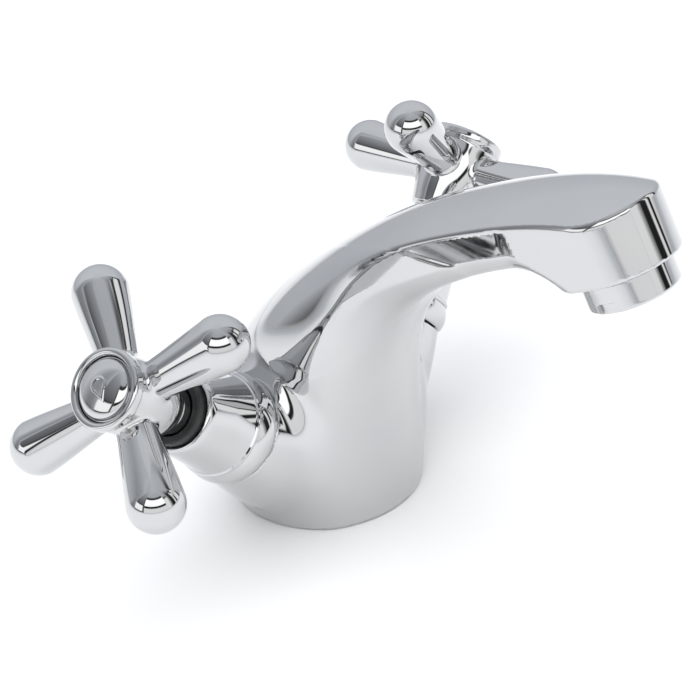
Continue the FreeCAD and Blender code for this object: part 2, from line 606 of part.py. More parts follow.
for side in ("hot", "cold"):
    pod = pod_frame(side)

    # cartridge: bush with two outlet windows, thread, hexagon and bonnet
    cart = new_body(side + "_cartridge")
    revolve(cart, side + "_cartridge_turned", [
        (D["disc_chamber"], D["bush_bottom"]), (D["bush_radius"], D["bush_bottom"]),
        (D["bush_radius"], D["thread_bottom"]), (D["thread_radius"], D["thread_bottom"] + 0.8),
        (D["thread_radius"], D["boss_face"]), (D["hex_flats"] * 0.5, D["boss_face"]),
        (D["hex_flats"] * 0.5, D["hex_top"]), (D["bonnet_radius"], D["hex_top"]),
        (D["bonnet_radius"], D["bonnet_top"] - 0.8), (D["bonnet_radius"] - 0.8, D["bonnet_top"]),
        (D["spindle_bore"], D["bonnet_top"]), (D["spindle_bore"], D["chamber_top"]),
        (D["disc_chamber"], D["chamber_top"])])
    hexagon = sketch_on(cart, side + "_hex_sketch", "XY_Plane")
    r_hex = D["hex_flats"].value / math.sqrt(3)
    outline = [(D["hex_flats"] * (math.cos(math.radians(60 * i)) / math.sqrt(3)),
                D["hex_flats"] * (math.sin(math.radians(60 * i)) / math.sqrt(3))) for i in range(6)]
    closed_profile(hexagon, outline)
    g = hexagon.addGeometry(Part.Circle(Vector(0, 0, 0), Vector(0, 0, 1), num("spindle_bore")), False)
    hexagon.addConstraint(Sketcher.Constraint("Coincident", g, 3, -1, 1))
    c = hexagon.addConstraint(Sketcher.Constraint("Radius", g, num("spindle_bore")))
    hexagon.setExpression("Constraints[%d]" % c, D["spindle_bore"].text)
    hexagon.AttachmentOffset = Placement(Vector(0, 0, num("boss_face")), FreeCAD.Rotation())
    hex_pad = cart.newObject("PartDesign::Pad", side + "_hex")
    hex_pad.Profile = hexagon
    hex_pad.setExpression("Length", "Dimensions.hex_top - Dimensions.boss_face - 0.6")
    cart.Tip = hex_pad
    window = sketch_on(cart, side + "_window_sketch", "XZ_Plane")
    closed_profile(window, [(-3.8, MOVING_BOTTOM - 0.3), (3.8, MOVING_BOTTOM - 0.3),
                            (3.8, D["thread_bottom"] - 0.5), (-3.8, D["thread_bottom"] - 0.5)])
    openings = cart.newObject("PartDesign::Pocket", side + "_windows")
    openings.Profile = window
    openings.Type = "ThroughAll"
    openings.Midplane = True
    cart.Tip = openings
    node(side + "_cartridge", cart, pod)

    lathe(side + "_cartridge_gasket", [
        (D["thread_radius"] + 0.05, D["gasket_level"] + 0.05), (D["gasket_recess"] - 0.05, D["gasket_level"] + 0.05),
        (D["gasket_recess"] - 0.05, D["boss_face"] - 0.02), (D["thread_radius"] + 0.05, D["boss_face"] - 0.02)], pod)

    lathe(side + "_seat_seal", [
        (D["seal_hole"], D["seat_level"]), (D["disc_radius"], D["seat_level"]),
        (D["disc_radius"], D["fixed_disc_bottom"]), (D["seal_hole"], D["fixed_disc_bottom"])], pod)

    fixed = new_body(side + "_fixed_disc")
    revolve(fixed, side + "_fixed_disc_turned", [
        (0, D["fixed_disc_bottom"]), (D["disc_radius"], D["fixed_disc_bottom"]),
        (D["disc_radius"], FIXED_TOP), (0, FIXED_TOP)])
    kidney_ports(fixed, side + "_fixed_ports", 2.0, 6.2, 50, 80, 60)
    node(side + "_fixed_disc", fixed, pod)

    moving = new_body(side + "_moving_disc")
    revolve(moving, side + "_moving_disc_turned", [
        (0, MOVING_BOTTOM), (D["disc_radius"], MOVING_BOTTOM), (D["disc_radius"], MOVING_TOP), (0, MOVING_TOP)])
    kidney_ports(moving, side + "_moving_ports", 2.0, 6.2, -40, 80, 60)
    node(side + "_moving_disc", moving, pod)

    spindle = new_body(side + "_spindle")
    gl, gh, gw = D["ring_groove_low"], D["ring_groove_high"], D["ring_groove_width"]
    revolve(spindle, side + "_spindle_turned", [
        (0, MOVING_TOP), (D["foot_radius"], MOVING_TOP), (D["foot_radius"], D["foot_top"]),
        (D["spindle_radius"], D["foot_top"]),
        (D["spindle_radius"], gl), (D["ring_groove_radius"], gl),
        (D["ring_groove_radius"], gl + gw), (D["spindle_radius"], gl + gw),
        (D["spindle_radius"], gh), (D["ring_groove_radius"], gh),
        (D["ring_groove_radius"], gh + gw), (D["spindle_radius"], gh + gw),
        (D["spindle_radius"], D["clip_level"]), (D["clip_groove_radius"], D["clip_level"]),
        (D["clip_groove_radius"], D["clip_level"] + D["clip_thick"] + 0.1),
        (D["spindle_radius"], D["clip_level"] + D["clip_thick"] + 0.1),
        (D["spindle_radius"], D["spindle_top"] - 0.5), (D["spindle_radius"] - 0.5, D["spindle_top"]),
        (D["screw_hole"], D["spindle_top"]), (D["screw_hole"], D["screw_hole_bottom"]),
        (0, D["screw_hole_bottom"] - 1.2)])
    tooth = sketch_on(spindle, side + "_spline_sketch", "XY_Plane")
    closed_profile(tooth, [(D["spindle_radius"] + 0.2, -0.42), (D["spindle_radius"] + 0.2, 0.42),
                           (D["spindle_radius"] - 0.42, 0)])
    tooth.AttachmentOffset = Placement(Vector(0, 0, 72.0), FreeCAD.Rotation())
    spline = spindle.newObject("PartDesign::Pocket", side + "_spline_cut")
    spline.Profile = tooth
    spline.Length = 20
    spline.Reversed = True
    spindle.Tip = spline
    doc.recompute()
    teeth = spindle.newObject("PartDesign::PolarPattern", side + "_spline")
    teeth.Originals = [spline]
    teeth.Axis = (origin_part(spindle, "Z_Axis"), [""])
    teeth.Angle = 360
    teeth.Occurrences = 20
    spindle.Tip = teeth
    node(side + "_spindle", spindle, pod)

    rings = doc.addObject("Part::Compound", side + "_stem_rings_pair")
    links = []
    for j, level in enumerate((gl, gh)):
        torus = doc.addObject("Part::Torus", "%s_stem_ring_%d" % (side, j))
        torus.setExpression("Radius1", "(Dimensions.ring_groove_radius + Dimensions.spindle_bore) / 2")
        torus.setExpression("Radius2", "(Dimensions.spindle_bore - Dimensions.ring_groove_radius) / 2 - 0.03")
        torus.Placement = Placement(Vector(0, 0, level.value + gw.value / 2), FreeCAD.Rotation())
        links.append(torus)
    rings.Links = links
    node(side + "_stem_rings", rings, pod)

    clip = new_body(side + "_circlip")
    revolve(clip, side + "_circlip_turned", [
        (D["clip_groove_radius"] + 0.02, D["clip_level"] + 0.05), (D["clip_radius"], D["clip_level"] + 0.05),
        (D["clip_radius"], D["clip_level"] + D["clip_thick"]),
        (D["clip_groove_radius"] + 0.02, D["clip_level"] + D["clip_thick"])])
    gap = sketch_on(clip, side + "_clip_gap_sketch", "XY_Plane")
    closed_profile(gap, [(0, -1.6), (9, -2.6), (9, 2.6), (0, 1.6)])
    opening = clip.newObject("PartDesign::Pocket", side + "_clip_gap")
    opening.Profile = gap
    opening.Length = 80
    opening.Reversed = True
    clip.Tip = opening
    node(side + "_circlip", clip, pod)

    # bell-shaped cover with a bulged foot, a fine bead and a rolled mouth
    lathe(side + "_shroud", [
        (D["hex_cavity"], D["shroud_foot"]), (D["shroud_foot_radius"], D["shroud_foot"]),
        (D["shroud_bulge"], D["bulge_level"]), (D["bead_radius"] + 0.35, D["bead_level"] - 0.35),
        (D["bead_radius"] + 0.35, D["bead_level"] + 0.35), (D["bead_radius"], D["bead_level"] + 0.6),
        (D["cone_top_radius"], D["cone_top"]), (D["mouth_radius"], D["mouth_level"]),
        (D["mouth_bore"], D["mouth_level"] - 0.4), (D["mouth_bore"], D["ring_seat"]),
        (D["ring_seat_radius"], D["ring_seat"]), (D["ring_seat_radius"], D["cone_top"] - 2.0),
        (D["shroud_inner"], D["web_top"]), (D["web_bore"], D["web_top"]),
        (D["web_bore"], D["hex_top"]), (D["hex_cavity"], D["hex_top"])], pod,
        {1: (3.0, 1), 2: (6.0, 1), 7: (1.6, 1)})

    lathe(side + "_shroud_ring", [
        (D["ring_inner"], D["ring_seat"] + 0.02), (D["ring_outer"], D["ring_seat"] + 0.02),
        (D["ring_outer"], D["ring_top"] - 0.9), (D["ring_outer"] - 0.9, D["ring_top"]),
        (D["ring_inner"] + 0.3, D["ring_top"]), (D["ring_inner"], D["ring_top"] - 0.3)], pod, {2: (0.9, 1)})

    turn = num(side + "_turn")
    grip = pod_frame(side, num("handle_level"), turn)

    handle = new_body(side + "_handle")
    revolve(handle, side + "_hub", [
        (0, D["sleeve_bottom"]), (D["sleeve_radius"], D["sleeve_bottom"]),
        (D["sleeve_radius"], D["neck_level"]), (D["neck_radius"] - 0.4, D["neck_level"]),
        (D["neck_radius"], D["neck_level"] + 0.5), (8.1, -9.0), (9.5, -3.0), (9.6, 3.0),
        (D["rim_radius"] - 0.5, 6.4), (D["rim_radius"], 7.2), (D["rim_radius"], 8.4),
        (D["rim_radius"] - 1.0, D["rim_top"]), (0, D["rim_top"])],
        {4: (14.0, -1), 5: (16.0, 1), 6: (12.0, 1), 10: (1.05, 1)})
    ball_x = D["arm_length"]
    # the arm: a cone that runs tangent into the ball at its end
    lean = math.asin((num("arm_ball") - num("arm_root")) / num("arm_length") * 0.9)
    arm = revolve(handle, side + "_arm", [
        (D["arm_inner"], 0), (D["arm_length"] + D["arm_ball"], 0),
        (D["arm_length"] - D["arm_ball"] * math.sin(lean), D["arm_ball"] * math.cos(lean)),
        (D["arm_inner"], D["arm_root"])], {1: (D["arm_ball"], 1)}, axis="H_Axis")
    doc.recompute()
    arms = handle.newObject("PartDesign::PolarPattern", side + "_arms")
    arms.Originals = [arm]
    arms.Axis = (origin_part(handle, "Z_Axis"), [""])
    arms.Angle = 360
    arms.Occurrences = 4
    handle.Tip = arms
    doc.recompute()
    revolve(handle, side + "_handle_bore", [
        (0, D["sleeve_bottom"] - 1), (D["socket_radius"], D["sleeve_bottom"] - 1),
        (D["socket_radius"], D["web_bottom"]), (D["web_hole"], D["web_bottom"]),
        (D["web_hole"], D["web_level"]), (D["screw_recess"], D["web_level"]),
        (D["screw_recess"], D["cap_floor"]), (D["cap_recess"], D["cap_floor"]),
        (D["cap_recess"], D["rim_top"] + 2), (0, D["rim_top"] + 2)], cut=True)
    node(side + "_handle", handle, grip)

    screw = new_body(side + "_handle_screw")
    revolve(screw, side + "_screw_turned", [
        (0, D["screw_bottom"]), (D["screw_shank"] - 0.4, D["screw_bottom"]),
        (D["screw_shank"], D["screw_bottom"] + 0.6), (D["screw_shank"], D["web_level"] + 0.02),
        (D["screw_head"], D["web_level"] + 0.02), (D["screw_head"], D["cap_floor"] - 1.3),
        (D["screw_head"] - 0.8, D["cap_floor"] - 0.4), (0, D["cap_floor"] - 0.4)])
    cross = sketch_on(screw, side + "_drive_sketch", "XY_Plane")
    closed_profile(cross, [(-0.45, -1.9), (0.45, -1.9), (0.45, -0.45), (1.9, -0.45), (1.9, 0.45), (0.45, 0.45),
                           (0.45, 1.9), (-0.45, 1.9), (-0.45, 0.45), (-1.9, 0.45), (-1.9, -0.45), (-0.45, -0.45)])
    cross.AttachmentOffset = Placement(Vector(0, 0, num("cap_floor") - 0.4), FreeCAD.Rotation())
    drive = screw.newObject("PartDesign::Pocket", side + "_drive")
    drive.Profile = cross
    drive.Length = 1.6
    screw.Tip = drive
    node(side + "_handle_screw", screw, grip)

    lathe(side + "_index_cap", [
        (0, D["cap_floor"] + 0.02), (D["cap_radius"], D["cap_floor"] + 0.02),
        (D["cap_radius"], D["cap_edge"] - 0.5), (D["cap_radius"] - 0.5, D["cap_edge"]),
        (0.8, D["cap_dome"] - 0.03), (0, D["cap_dome"] - 0.03)], grip, {3: (14.5, 1)})

# ---------------------------------------------------------------- checks
doc.recompute()
failed = []
for obj in doc.Objects:
    if "Invalid" in obj.State or "Error" in obj.State:
        failed.append((obj.Name, obj.State))
for label, obj in NODES:
    shape = obj.Shape
    if shape.isNull() or not shape.isValid() or not shape.Solids:
        failed.append((label, "null" if shape.isNull() else "not valid"))
if failed:
    for item in failed:
        print("FAILED", item)
    raise SystemExit("some parts failed")

# ---------------------------------------------------------------- files
os.makedirs("parts", exist_ok=True)
for label, obj in NODES:
    shape = obj.Shape
    print("%-24s solids %d  volume %9.1f" % (label, len(shape.Solids), shape.Volume))
    shape.exportStep(os.path.join("parts", label + ".step"))
print("nodes", len(NODES))
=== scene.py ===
import json
import math
import bpy
import numpy as np
from mathutils import Matrix, Vector


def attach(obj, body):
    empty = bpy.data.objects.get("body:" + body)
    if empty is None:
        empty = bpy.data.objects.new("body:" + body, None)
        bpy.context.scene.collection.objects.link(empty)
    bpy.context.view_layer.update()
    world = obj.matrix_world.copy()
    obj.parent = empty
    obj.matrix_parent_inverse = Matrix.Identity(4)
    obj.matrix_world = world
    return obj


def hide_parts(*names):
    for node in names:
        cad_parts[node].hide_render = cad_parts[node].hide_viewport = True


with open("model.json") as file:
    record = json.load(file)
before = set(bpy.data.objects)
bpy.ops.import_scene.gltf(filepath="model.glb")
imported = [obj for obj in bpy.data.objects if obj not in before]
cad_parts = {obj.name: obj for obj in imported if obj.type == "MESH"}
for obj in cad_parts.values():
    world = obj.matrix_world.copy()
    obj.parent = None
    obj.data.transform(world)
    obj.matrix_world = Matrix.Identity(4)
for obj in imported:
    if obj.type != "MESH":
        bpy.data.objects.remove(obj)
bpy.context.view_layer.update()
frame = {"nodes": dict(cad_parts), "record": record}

scene = bpy.context.scene
MM = 0.001

# ------------------------------------------------------------------ camera
AZ, EL, ROLL = math.radians(-47.65), math.radians(31.11), math.radians(6.99)
back = Vector((math.sin(AZ) * math.cos(EL), -math.cos(AZ) * math.cos(EL), math.sin(EL)))
right0 = (-back).cross(Vector((0, 0, 1))).normalized()
up0 = right0.cross(-back).normalized()
turn = Matrix.Rotation(ROLL, 3, -back)
right, up = turn @ right0, turn @ up0
cam_data = bpy.data.cameras.new("photo_camera")
cam_data.sensor_width = 36.0
cam_data.lens = 121.57
cam_data.clip_start, cam_data.clip_end = 0.05, 50.0
cam = bpy.data.objects.new("photo_camera", cam_data)
m = Matrix.Identity(4)
for i in range(3):
    m[i][0], m[i][1], m[i][2] = right[i], up[i], back[i]
m[0][3], m[1][3], m[2][3] = -0.37902, -0.35852, 0.35238
cam.matrix_world = m
scene.collection.objects.link(cam)
scene.camera = cam
scene.view_settings.view_transform = "Standard"
scene.view_settings.look = "None"
scene.view_settings.exposure = 0.0


# ------------------------------------------------------------------ materials
def new_material(name):
    mat = bpy.data.materials.new(name)
    mat.use_nodes = True
    nt = mat.node_tree
    for n in list(nt.nodes):
        nt.nodes.remove(n)
    out = nt.nodes.new("ShaderNodeOutputMaterial")
    bsdf = nt.nodes.new("ShaderNodeBsdfPrincipled")
    nt.links.new(bsdf.outputs["BSDF"], out.inputs["Surface"])
    return mat, nt, bsdf


def coords(nt):
    return nt.nodes.new("ShaderNodeTexCoord").outputs["Object"]


def noise(nt, vec, scale, detail=3.0, rough=0.5):
    n = nt.nodes.new("ShaderNodeTexNoise")
    n.inputs["Scale"].default_value = scale
    n.inputs["Detail"].default_value = detail
    n.inputs["Roughness"].default_value = rough
    nt.links.new(vec, n.inputs["Vector"])
    return n.outputs["Fac"]


def ramp(nt, fac, stops):
    r = nt.nodes.new("ShaderNodeValToRGB")
    els = r.color_ramp.elements
    while len(els) > 1:
        els.remove(els[-1])
    els[0].position, els[0].color = stops[0][0], stops[0][1]
    for p, c in stops[1:]:
        e = els.new(p)
        e.color = c
    nt.links.new(fac, r.inputs["Fac"])
    return r.outputs["Color"]


def remap(nt, fac, lo, hi, a=0.0, b=1.0):
    n = nt.nodes.new("ShaderNodeMapRange")
    n.inputs["From Min"].default_value, n.inputs["From Max"].default_value = a, b
    n.inputs["To Min"].default_value, n.inputs["To Max"].default_value = lo, hi
    nt.links.new(fac, n.inputs["Value"])
    return n.outputs["Result"]


def bump(nt, bsdf, height, strength, distance):
    b = nt.nodes.new("ShaderNodeBump")
    b.inputs["Strength"].default_value = strength
    b.inputs["Distance"].default_value = distance
    nt.links.new(height, b.inputs["Height"])
    nt.links.new(b.outputs["Normal"], bsdf.inputs["Normal"])
    return b


def grey(v, blue=0.0, alpha=1.0):
    return (v, v + blue * 0.4, v + blue, alpha)


def chrome_material(name, tone=0.80, rough=(0.03, 0.06), wave=0.00002):
    mat, nt, bsdf = new_material(name)
    vec = coords(nt)
    bsdf.inputs["Metallic"].default_value = 1.0
    broad = noise(nt, vec, 45.0, 2.0, 0.4)
    nt.links.new(ramp(nt, broad, [(0.3, (tone - 0.015, tone - 0.008, tone, 1)), (0.7, (tone + 0.012, tone + 0.014, tone + 0.016, 1))]),
                 bsdf.inputs["Base Color"])
    fine = noise(nt, vec, 420.0, 4.0, 0.55)
    nt.links.new(remap(nt, fine, rough[0], rough[1], 0.3, 0.75), bsdf.inputs["Roughness"])
    bump(nt, bsdf, noise(nt, vec, 90.0, 1.0, 0.4), 0.25, wave)
    return mat


def rubber_material(name, tone=0.012):
    mat, nt, bsdf = new_material(name)
    vec = coords(nt)
    nt.links.new(ramp(nt, noise(nt, vec, 300.0, 4.0), [(0.3, grey(tone * 0.7)), (0.75, grey(tone * 1.7, 0.002))]), bsdf.inputs["Base Color"])
    nt.links.new(remap(nt, noise(nt, vec, 900.0, 3.0), 0.32, 0.5, 0.3, 0.7), bsdf.inputs["Roughness"])
    bump(nt, bsdf, noise(nt, vec, 2600.0, 3.0), 0.3, 0.00004)
    return mat


def plastic_material(name, tone=0.84):
    mat, nt, bsdf = new_material(name)
    vec = coords(nt)
    nt.links.new(ramp(nt, noise(nt, vec, 200.0, 3.0), [(0.3, grey(tone - 0.03)), (0.7, grey(tone + 0.02, -0.01))]), bsdf.inputs["Base Color"])
    nt.links.new(remap(nt, noise(nt, vec, 700.0, 3.0), 0.3, 0.42, 0.3, 0.7), bsdf.inputs["Roughness"])
    bsdf.inputs["Subsurface Weight"].default_value = 0.08
    bump(nt, bsdf, noise(nt, vec, 1500.0, 2.0), 0.2, 0.00003)
    return mat


def brass_material(name):
    mat, nt, bsdf = new_material(name)
    vec = coords(nt)
    bsdf.inputs["Metallic"].default_value = 1.0
    nt.links.new(ramp(nt, noise(nt, vec, 160.0, 4.0), [(0.3, (0.62, 0.45, 0.2, 1)), (0.7, (0.76, 0.58, 0.29, 1))]), bsdf.inputs["Base Color"])
    nt.links.new(remap(nt, noise(nt, vec, 800.0, 4.0), 0.2, 0.34, 0.3, 0.7), bsdf.inputs["Roughness"])
    bump(nt, bsdf, noise(nt, vec, 1800.0, 2.0), 0.3, 0.00003)
    return mat


def steel_material(name):
    mat, nt, bsdf = new_material(name)
    vec = coords(nt)
    bsdf.inputs["Metallic"].default_value = 1.0
    nt.links.new(ramp(nt, noise(nt, vec, 200.0, 4.0), [(0.3, grey(0.48, 0.01)), (0.7, grey(0.6, 0.01))]), bsdf.inputs["Base Color"])
    nt.links.new(remap(nt, noise(nt, vec, 900.0, 4.0), 0.2, 0.32, 0.3, 0.7), bsdf.inputs["Roughness"])
    return mat


CHROME = chrome_material("polished_chrome", 0.59)
CHROME_GRIP = chrome_material("polished_chrome_grip", 0.59, (0.03, 0.07))
RUBBER = rubber_material("black_rubber")
PLASTIC = plastic_material("white_moulded_plastic")
CERAMIC = plastic_material("lapped_ceramic", 0.9)
BRASS = brass_material("machined_brass")
STEEL = steel_material("bright_steel")
BY_SLOT = {"chrome": CHROME, "black_rubber": RUBBER, "white_plastic": PLASTIC, "ceramic": CERAMIC,
           "brass": BRASS, "spring_steel": STEEL}
for part in frame["record"]["subparts"]:
    obj = frame["nodes"][part["node"]]
    obj.data.materials.clear()
    obj.data.materials.append(BY_SLOT[part["material_slot"]])


# ------------------------------------------------------------------ frames
ELEV = math.radians(40.99)
CE, SE = math.cos(ELEV), math.sin(ELEV)
ROOT = np.array([0.0, 0.0, 5.0])
POD = {"hot": (np.array([0, 1, 0.0]), np.array([-SE, 0, -CE]), np.array([-CE, 0, SE])),
       "cold": (np.array([0, -1, 0.0]), np.array([SE, 0, -CE]), np.array([CE, 0, SE]))}
TURN = {"hot": 41.65, "cold": 3.53}
HUB = 85.76
TILT = math.radians(22.66)
NOSE_UP = np.array([0, math.sin(TILT), math.cos(TILT)])
NOSE_BACK = np.array([0, math.cos(TILT), -math.sin(TILT)])
OUTLET = np.array([0, -100.84, 84.15])


def pod_basis(side, turn=0.0):
    u, v, n = POD[side]
    a = math.radians(turn)
    return np.stack([u * math.cos(a) + v * math.sin(a), v * math.cos(a) - u * math.sin(a), n])


# ------------------------------------------------------------------ mesh from an implicit form
def surface_nets(field, origin, step):
    """Quads on the zero level of a sampled field, one vertex per mixed cell."""
    inside = field < 0
    nx, ny, nz = field.shape
    c = [inside[dx:nx - 1 + dx, dy:ny - 1 + dy, dz:nz - 1 + dz] for dx in (0, 1) for dy in (0, 1) for dz in (0, 1)]
    total = np.zeros(c[0].shape, np.int8)
    for k in c:
        total += k
    mixed = (total > 0) & (total < 8)
    ids = np.full(mixed.shape, -1, np.int64)
    cells = np.argwhere(mixed)
    ids[tuple(cells.T)] = np.arange(len(cells))
    corner = {(dx, dy, dz): field[cells[:, 0] + dx, cells[:, 1] + dy, cells[:, 2] + dz]
              for dx in (0, 1) for dy in (0, 1) for dz in (0, 1)}
    acc = np.zeros((len(cells), 3))
    cnt = np.zeros(len(cells))
    for (a, fa) in corner.items():
        for ax in range(3):
            if a[ax] == 0:
                b = list(a)
                b[ax] = 1
                fb = corner[tuple(b)]
                cross = (fa < 0) != (fb < 0)
                t = np.where(cross, fa / np.where(cross, fa - fb, 1.0), 0.0)
                p = np.zeros((len(cells), 3))
                p[:] = a
                p[:, ax] += t
                acc += p * cross[:, None]
                cnt += cross
    verts = (cells + acc / cnt[:, None]) * step + origin
    quads = []
    for ax in range(3):
        o1, o2 = (ax + 1) % 3, (ax + 2) % 3
        sl0 = [slice(None)] * 3
        sl1 = [slice(None)] * 3
        sl0[ax], sl1[ax] = slice(0, -1), slice(1, None)
        for o in (o1, o2):
            sl0[o] = slice(1, -1)
            sl1[o] = slice(1, -1)
        a, b = inside[tuple(sl0)], inside[tuple(sl1)]
        edge = np.argwhere(a != b)
        flip = a[tuple(edge.T)]
        base = edge.copy()
        base[:, o1] += 1
        base[:, o2] += 1
        def cell(d1, d2):
            q = base.copy()
            q[:, o1] -= d1
            q[:, o2] -= d2
            return ids[tuple(q.T)]
        q = np.stack([cell(0, 0), cell(1, 0), cell(1, 1), cell(0, 1)], 1)
        q = np.where(flip[:, None], q, q[:, ::-1])
        quads.append(q)
    return verts, np.concatenate(quads)


def gradient(f, p, eps=0.01):
    g = np.zeros_like(p)
    for ax in range(3):
        d = np.zeros(3)
        d[ax] = eps
        g[:, ax] = (f(p + d) - f(p - d)) / (2 * eps)
    return g


def implicit_mesh(f, lo, hi, step, relax=2):
    n = [int(math.ceil((hi[i] - lo[i]) / step)) + 1 for i in range(3)]
    axes = [lo[i] + step * np.arange(n[i]) for i in range(3)]
    field = f.grid(axes) if hasattr(f, "grid") else None
    if field is None:
        field = np.empty(n)
        yy, zz = np.meshgrid(axes[1], axes[2], indexing="ij")
        for i, x in enumerate(axes[0]):
            pts = np.stack([np.full(yy.size, x), yy.ravel(), zz.ravel()], 1)
            field[i] = f(pts).reshape(yy.shape)
    verts, quads = surface_nets(field, np.array(lo, float), step)

    def project(v, times):
        for _ in range(times):
            val = f(v)
            g = gradient(f, v)
            g2 = np.maximum((g * g).sum(1), 0.05)
            move = -val[:, None] * g / g2[:, None]
            size = np.linalg.norm(move, axis=1)
            move *= np.minimum(1.0, 0.7 * step / np.maximum(size, 1e-9))[:, None]
            v = v + move
        return v

    verts = project(verts, 2)
    # even out the spacing by moving along the surface, then land on it again
    pairs = np.concatenate([quads[:, [0, 1]], quads[:, [1, 2]], quads[:, [2, 3]], quads[:, [3, 0]]])
    deg = np.bincount(pairs.ravel(), minlength=len(verts)).astype(float)
    for _ in range(relax):
        mean = np.stack([np.bincount(pairs[:, 0], verts[pairs[:, 1], k], len(verts))
                         + np.bincount(pairs[:, 1], verts[pairs[:, 0], k], len(verts)) for k in range(3)], 1) / deg[:, None]
        g = gradient(f, verts)
        g /= np.maximum(np.linalg.norm(g, axis=1), 1e-9)[:, None]
        d = mean - verts
        d -= (d * g).sum(1)[:, None] * g
        verts = project(verts + 0.6 * d, 1)
    verts = project(verts, 1)
    g = gradient(f, verts, 0.02)
    g /= np.maximum(np.linalg.norm(g, axis=1), 1e-9)[:, None]
    return verts, quads, g


def mesh_object(name, verts, faces, normals=None, smooth=True):
    me = bpy.data.meshes.new(name)
    me.from_pydata([tuple(v) for v in (np.asarray(verts) * MM)], [], [tuple(int(i) for i in q) for q in faces])
    me.validate()
    me.update()
    if smooth:
        me.polygons.foreach_set("use_smooth", [True] * len(me.polygons))
    if normals is not None and len(me.vertices) == len(normals):
        me.normals_split_custom_set_from_vertices([tuple(v) for v in normals])
    obj = bpy.data.objects.new(name, me)
    scene.collection.objects.link(obj)
    return obj


# smooth joins of signed distances
def both(a, b, r):
    """Intersection with a round edge of radius r."""
    u, v = np.maximum(a + r, 0), np.maximum(b + r, 0)
    return np.minimum(-r, np.maximum(a, b)) + np.sqrt(u * u + v * v)


def either(a, b, r):
    """Union with a round fillet of radius r."""
    u, v = np.maximum(r - a, 0), np.maximum(r - b, 0)
    return np.maximum(r, np.minimum(a, b)) - np.sqrt(u * u + v * v)


def minus(a, b, r):
    return both(a, -b, r)


# ------------------------------------------------------------------ the casting
TOP_LINE = [(25.0, 0.0), (25.03, 21.04), (25.7, 43.32), (-23.63, 83.73),
            (-57.04, 100.13), (-94.3, 113.31), (-108.33, 110.42)]
UNDER_LINE = [(-25, 0), (-26.11, 11.41), (-26.3, 35.76), (-37.83, 69.74),
              (-72.32, 88.97), (-92.51, 94.56), (-105.2, 96.46)]


class Curve:
    """A clamped cubic spline as one polynomial per span."""

    def __init__(self, control):
        n = len(control)
        self.spans = n - 3
        knots = np.r_[[0.0] * 4, np.arange(1, self.spans) / self.spans, [1.0] * 4]
        c = np.array(control, float)
        self.poly = []
        for s in range(self.spans):
            t0, t1 = s / self.spans, (s + 1) / self.spans
            ts = np.linspace(t0, t1, 4)
            pts = np.array([self.de_boor(min(t, t1 - 1e-9) if t > t0 else t + 1e-12, knots, c, s + 3) for t in ts])
            w = (ts - t0) / (t1 - t0)
            v = np.vander(w, 4, increasing=True)
            self.poly.append(np.linalg.solve(v, pts))
        self.poly = np.array(self.poly)
        t = np.linspace(0, 1, 1601)
        p = self.at(t)[0]
        self.t_table = t
        self.s_table = np.r_[0, np.cumsum(np.hypot(*np.diff(p, axis=0).T))]
        self.coarse_t = np.linspace(0, 1, 121)
        self.coarse = self.at(self.coarse_t)[0]

    @staticmethod
    def de_boor(t, knots, c, j):
        d = [c[j - 3 + i].copy() for i in range(4)]
        for r in range(1, 4):
            for i in range(3, r - 1, -1):
                lo, hi = knots[j - 3 + i], knots[j + 1 + i - r]
                a = (t - lo) / (hi - lo)
                d[i] = (1 - a) * d[i - 1] + a * d[i]
        return d[3]

    def at(self, t):
        s = np.clip((t * self.spans).astype(int), 0, self.spans - 1)
        w = t * self.spans - s
        k = self.poly[s]
        w = w[:, None]
        p = k[:, 0] + w * (k[:, 1] + w * (k[:, 2] + w * k[:, 3]))
        d = (k[:, 1] + w * (2 * k[:, 2] + 3 * w * k[:, 3])) * self.spans
        dd = (2 * k[:, 2] + 6 * w * k[:, 3]) * self.spans ** 2
        return p, d, dd

    def project(self, y, z, inward):
        """Signed distance (positive on the metal side) and arc length."""
        best = np.full(len(y), 1e9)
        t = np.zeros(len(y))
        for (cy, cz), ct in zip(self.coarse, self.coarse_t):
            d = (y - cy) ** 2 + (z - cz) ** 2
            closer = d < best
            best = np.where(closer, d, best)
            t = np.where(closer, ct, t)
        for _ in range(5):
            p, d, dd = self.at(t)
            e = p - np.stack([y, z], 1)
            gval = (e * d).sum(1)
            h = (d * d).sum(1) + (e * dd).sum(1)
            t = np.clip(t - np.clip(gval / np.where(np.abs(h) < 1e-6, 1e-6, h), -0.05, 0.05), -0.03, 1.03)
        p, d, _ = self.at(t)
        length = np.hypot(d[:, 0], d[:, 1])
        nrm = np.stack([-d[:, 1], d[:, 0]], 1) / length[:, None] * inward
        off = ((np.stack([y, z], 1) - p) * nrm).sum(1)
        s = np.interp(t, self.t_table, self.s_table)
        s = s + np.minimum(t, 0) * length + np.maximum(t - 1, 0) * length
        return off, s


TOP, UNDER = Curve(TOP_LINE), Curve(UNDER_LINE)


def fade(s, middle, width):
    return 0.5 * (1 - np.tanh((s - middle) / width))


def half_width(s):
    return 13.9 + 11.1 * fade(s, 54.5, 14.0)


def corner(s):
    return 5.0 + (half_width(s) - 5.0) * fade(s, 72.0, 14.0)


def crown(s):
    return 25.0 - 2.5 * (1 - fade(s, 90.0, 25.0))


def pod_coords(p, side):
    q = p - ROOT
    u, v, n = POD[side]
    return q @ u, q @ v, q @ n


def capped(rad, along, radius, lo, hi, edge):
    return both(both(rad - radius, along - hi, edge), lo - along, edge)


